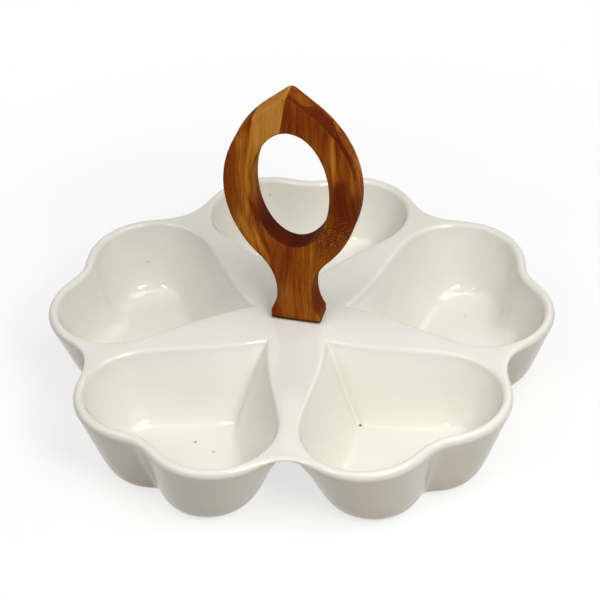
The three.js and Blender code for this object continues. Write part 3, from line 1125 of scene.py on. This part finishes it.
def ivory_glaze():
    material, shader = finish("ivory_glaze")
    place = millimetres()
    clouds = mottled(place, scale=even(0.016))
    peel = mottled(place, scale=even(0.15))
    tint = mix(clouds["Broad"], IVORY, IVORY_WARM)
    pooled = soft_step(put("NewGeometry").outputs["Pointiness"], *POOLING)
    tint = mix(times(pooled, POOLING_STRENGTH), tint, POOLED_IVORY)
    marks = pinholes(place)
    tint = mix(marks, tint, PINHOLE_BROWN)

    # The cups stand on unglazed clay, with a warm line where the glaze ends
    height = split(place)["Z"]
    bare = soft_step(layered(height, (peel["Fine"], BARE_UNEVENNESS)), *BARE_HEIGHT)
    seam = times(soft_step(height, *SEAM_START), soft_step(height, *SEAM_END))
    tint = mix(times(seam, SEAM_STRENGTH), tint, BISCUIT)
    clay_tint = mix(peel["Fine"], BISCUIT, POOLED_IVORY)
    tint = mix(bare, tint, clay_tint)

    worn = scuffed(place, spacing=26)
    rougher = ((clouds["Fine"], CLOUD_ROUGHNESS), (worn, SCUFF_ROUGHNESS), (bare, CLAY_ROUGHNESS))
    gloss = layered(GLAZE_ROUGHNESS, *rougher)
    grit = times(peel["Fine"], bare)
    ups = layered(0, (peel["Broad"], PEEL_RELIEF), (grit, CLAY_RELIEF), (marks, -1))
    give(shader, {"Base Color": tint, "Roughness": gloss, "Normal": relief(ups, depth=0.00007)})
    return material


# Steel and rubber of the fixing

STEEL = colour(0.56, 0.57, 0.58)
STEEL_TARNISH = colour(0.44, 0.41, 0.35)
STAIN_STRENGTH = 0.55
STEEL_ROUGHNESS = 0.22
TOOL_MARK_ROUGHNESS = 0.22
STAIN_ROUGHNESS = 0.10
STEEL_SCUFF_RELIEF = -0.5

RUBBER = colour(0.022, 0.019, 0.017)
RUBBER_DUST = colour(0.075, 0.066, 0.056)
DUST_STRENGTH = 0.5
GRIT_STRENGTH = 0.4
RUBBER_SCUFF_STRENGTH = 0.7
RUBBER_ROUGHNESS = 0.66
DUST_ROUGHNESS = 0.2


def turned_steel():
    material, shader = finish("turned_steel")
    place = millimetres()
    radius = reach_of(vectors("MULTIPLY", place, (1, 1, 0)))
    rings = put("TexNoise", {"W": radius, "Scale": 5, "Detail": 2}, noise_dimensions="1D").outputs[0]
    stains = mottled(place, scale=even(0.22))
    worn = scuffed(place, spacing=4)
    tint = mix(times(stains["Broad"], STAIN_STRENGTH), STEEL, STEEL_TARNISH)
    gloss = layered(STEEL_ROUGHNESS, (rings, TOOL_MARK_ROUGHNESS), (stains["Fine"], STAIN_ROUGHNESS))
    ups = layered(rings, (worn, STEEL_SCUFF_RELIEF))
    give(shader, {"Base Color": tint, "Roughness": gloss, "Normal": relief(ups, depth=0.00005)})
    give(shader, {"Metallic": 1})
    return material


def matt_rubber():
    material, shader = finish("matt_rubber")
    place = millimetres()
    dust = mottled(place, scale=even(0.25))
    grit = speckled(place, scale=even(1.6), share=0.3, size=0.3)
    worn = scuffed(place, spacing=5)
    pale = strongest(
        times(dust["Broad"], DUST_STRENGTH),
        times(grit, GRIT_STRENGTH),
        times(worn, RUBBER_SCUFF_STRENGTH),
    )
    tint = mix(pale, RUBBER, RUBBER_DUST)
    gloss = layered(RUBBER_ROUGHNESS, (dust["Fine"], DUST_ROUGHNESS))
    ups = maths("ADD", dust["Fine"], grit)
    give(shader, {"Base Color": tint, "Roughness": gloss, "Normal": relief(ups, depth=0.00008)})
    return material


# The finished pieces

def dress(piece, body, node, material, smooth=CRISP_EDGES):
    """Makes a finished piece stand for a CAD node."""
    only(piece)
    bpy.ops.object.shade_smooth_by_angle(angle=smooth)
    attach(piece, body)
    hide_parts(node)
    piece.data.materials.append(material)


steel = turned_steel()
rubber = matt_rubber()

dress(dish(), "dish_body", "dish", ivory_glaze(), SOFT_CASTING)
dress(handle(), "handle_body", "handle", oiled_wood())
dress(foot_pad(), "handle_body", "foot_pad", rubber)
dress(screw(), "handle_body", "handle_screw", steel)
flat_washer = washer("steel_washer", "screw_washer", WASHER_EDGE)
dress(flat_washer, "handle_body", "screw_washer", steel)
cushion = washer("rubber_washer", "cushion_washer", CUSHION_EDGE)
dress(cushion, "dish_body", "cushion_washer", rubber)


# Camera, fitted to the photograph's rims and handle

CAMERA_AZIMUTH = radians(16.6)
CAMERA_ELEVATION = 37.38  # degrees
CAMERA_DISTANCE = 1.2963
CAMERA_YAW = radians(0.040)
CAMERA_PITCH = radians(0.375)
CAMERA_ROLL = radians(-2.563)
FOCAL_PIXELS = 2226
PICTURE_PIXELS = 600
SENSOR_WIDTH = 36  # millimetres


def around(azimuth, elevation, distance):
    """A place round the dish, with azimuth 0 on the camera's side and positive to its right."""
    turn = CAMERA_AZIMUTH + radians(azimuth)
    rise = radians(elevation)
    return Vector((
        distance * sin(turn) * cos(rise),
        -distance * cos(turn) * cos(rise),
        distance * sin(rise),
    ))


def camera():
    back = around(0, CAMERA_ELEVATION, 1)
    right = Vector((cos(CAMERA_AZIMUTH), sin(CAMERA_AZIMUTH), 0))
    up = right.cross(-back)
    forward = (-back + right * tan(CAMERA_YAW) + up * tan(CAMERA_PITCH)).normalized()
    right = forward.cross(up).normalized()
    up = right.cross(forward)
    data = bpy.data.cameras.new("photo_camera")
    data.sensor_width = SENSOR_WIDTH
    data.lens = SENSOR_WIDTH * FOCAL_PIXELS / PICTURE_PIXELS
    eye = bpy.data.objects.new("photo_camera", data)
    bpy.context.scene.collection.objects.link(eye)
    place = Matrix.Translation(Vector((0, 0, RIM_HEIGHT)) + back * CAMERA_DISTANCE)
    turn = Matrix((right, up, -forward)).transposed().to_4x4()
    eye.matrix_world = place @ turn @ Matrix.Rotation(CAMERA_ROLL, 4, "Z")
    bpy.context.scene.camera = eye


# Three window-like lamps draw the glints and the lines on the rims, and wide lamps give the soft light.
# One lamp a row: name, azimuth, elevation, distance, width and height, and power.
LAMPS = (
    ("right_window", 25, 45, 0.80, (0.26, 0.08), 2.4),
    ("left_window", -45, 43, 1.70, (0.28, 0.16), 2.1),
    ("top_window", 10, 75, 1.50, (0.60, 0.07), 1.5),
    ("right_soft", 60, 60, 1.70, (1.00, 1.00), 11.3),
    ("left_soft", -60, 60, 1.70, (1.00, 1.00), 4.9),
    ("side_soft", -90, 35, 1.70, (1.00, 1.00), 4.6),
    ("back_soft", 140, 40, 1.70, (1.00, 1.00), 3.4),
)


def lamp(name, place, size, power):
    """A lamp that looks at the middle of the dish."""
    data = bpy.data.lights.new(name, "AREA")
    data.shape = "RECTANGLE"
    data.size, data.size_y = size
    data.energy = power
    made = bpy.data.objects.new(name, data)
    made.location = place
    made.rotation_euler = (-place).to_track_quat("-Z", "Y").to_euler()
    bpy.context.scene.collection.objects.link(made)


# The white studio

WHITE = colour(1, 1, 1)
SEEN_WHITE = 1.0
WORLD_LIGHT = 0.05
FLOOR_SIZE = 12
FLOOR_ROUGHNESS = 0.9
FLOOR_TONE = colour(0.44, 0.39, 0.325)  # as the object sees it
FLOOR_SEEN_TONE = colour(0.97, 0.97, 0.97)  # as the camera sees it, before the white is added
SHADOW_SHARE = 0.28  # of the light and shadow near the dish that the camera sees
SHADOW_REACH = (0.17, 0.40)  # metres from the middle between which the floor turns white


def seen_directly():
    """1 for what the camera sees, also in a gloss or through glass, and 0 for light that bounces."""
    path = put("LightPath").outputs
    return strongest(path["Is Camera Ray"], path["Is Glossy Ray"], path["Is Transmission Ray"])


def studio_world():
    world = bpy.data.worlds.new("studio")
    bpy.context.scene.world = world
    world.use_nodes = True
    Opened.tree = world.node_tree
    given = {"Value": seen_directly(), "To Min": WORLD_LIGHT, "To Max": SEEN_WHITE}
    strength = put("MapRange", given).outputs[0]
    give(Opened.tree.nodes["Background"], {"Color": WHITE, "Strength": strength})


def white_table():
    """A pale floor that turns white away from the dish for the camera, and keeps the dish's shadow."""
    material, shader = finish("white_table")
    seen = seen_directly()
    tint = mix(seen, FLOOR_TONE, FLOOR_SEEN_TONE)
    give(shader, {"Base Color": tint, "Roughness": FLOOR_ROUGHNESS, "Specular IOR Level": 0})
    reach = reach_of(put("TexCoord").outputs["Object"])
    whiteness = soft_step(reach, *SHADOW_REACH, 1 - SHADOW_SHARE, 1)
    white = put("Emission", {"Color": WHITE, "Strength": SEEN_WHITE}).outputs[0]
    both = put("MixShader", {0: times(whiteness, seen), 1: shader.outputs[0], 2: white})
    give(Opened.tree.nodes["Material Output"], {"Surface": both.outputs[0]})
    return material


camera()
for lamp_name, azimuth, elevation, distance, lamp_size, power in LAMPS:
    lamp(lamp_name, around(azimuth, elevation, distance), lamp_size, power)
studio_world()
bpy.ops.mesh.primitive_plane_add(size=FLOOR_SIZE)
floor = bpy.context.object
floor.name = "floor"
floor.data.materials.append(white_table())

bpy.context.scene.view_settings.view_transform = "Standard"
